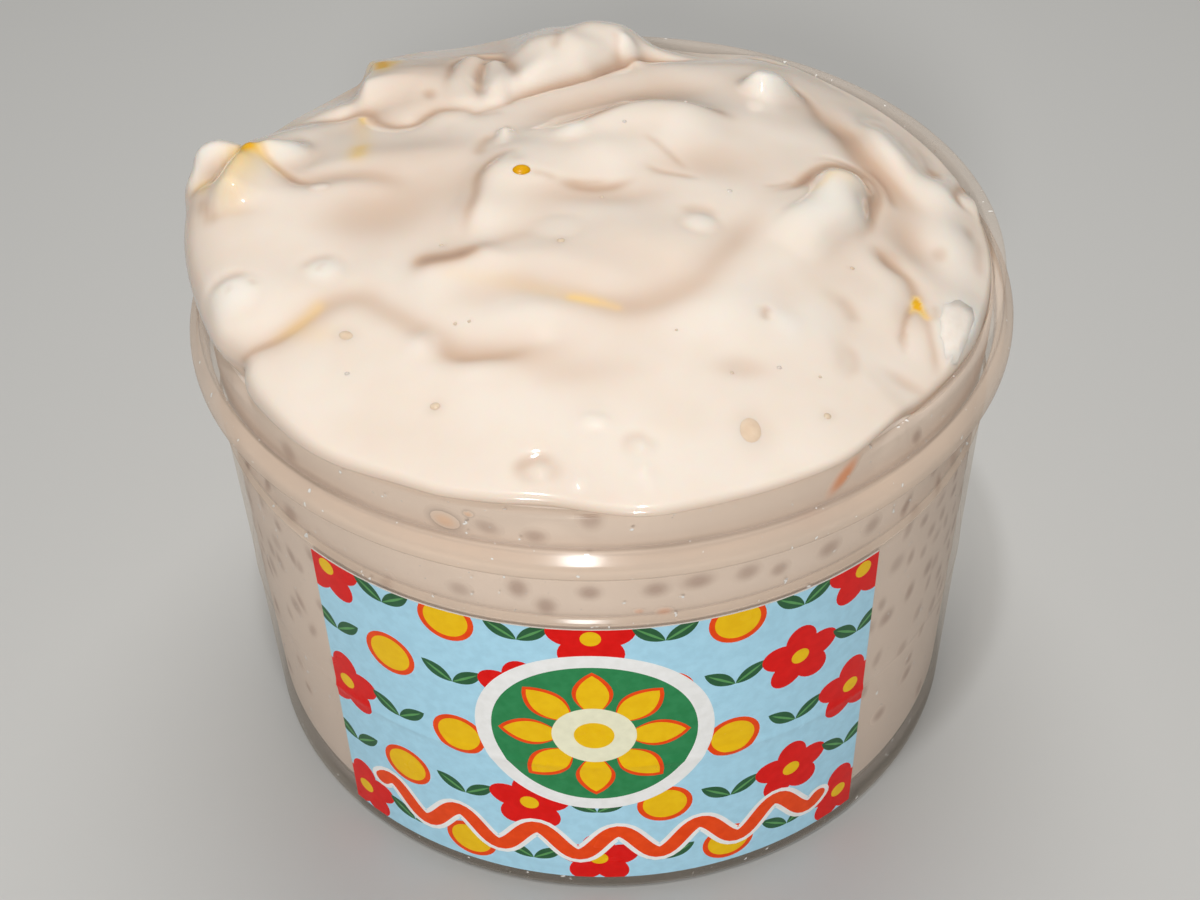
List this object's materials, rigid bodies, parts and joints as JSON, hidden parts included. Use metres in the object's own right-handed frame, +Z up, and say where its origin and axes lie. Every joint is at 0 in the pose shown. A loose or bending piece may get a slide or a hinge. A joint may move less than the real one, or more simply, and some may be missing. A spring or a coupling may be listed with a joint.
{
  "type": "mango sticky rice slime tub",
  "caption": "Round translucent snap-lid tub, shown without its lid, heaped over the rim with thick glossy cream slime with soft folds, and a printed label wrapped on the front.",
  "frame": {"origin": "centre of the tub's base, on the surface it stands on", "axes": "+Z up along the tub's axis, -Y out of the front, where the label is, +X to the right seen from the front"},
  "size_m": [0.086, 0.086, 0.0667],
  "materials": {
    "tub": "hazy translucent polypropylene, softly glossy",
    "slime": "thick wet-looking cream slime, glossy and slightly translucent",
    "label": "printed sticker with a satin film",
    "beads": "small soft translucent pellets, glossy",
    "yellow_bits": "small mango-yellow bits, glossy"
  },
  "bodies": {
    "root": {"tub": "tub", "slime": "slime", "label": "label"}
  },
  "joints": []
}
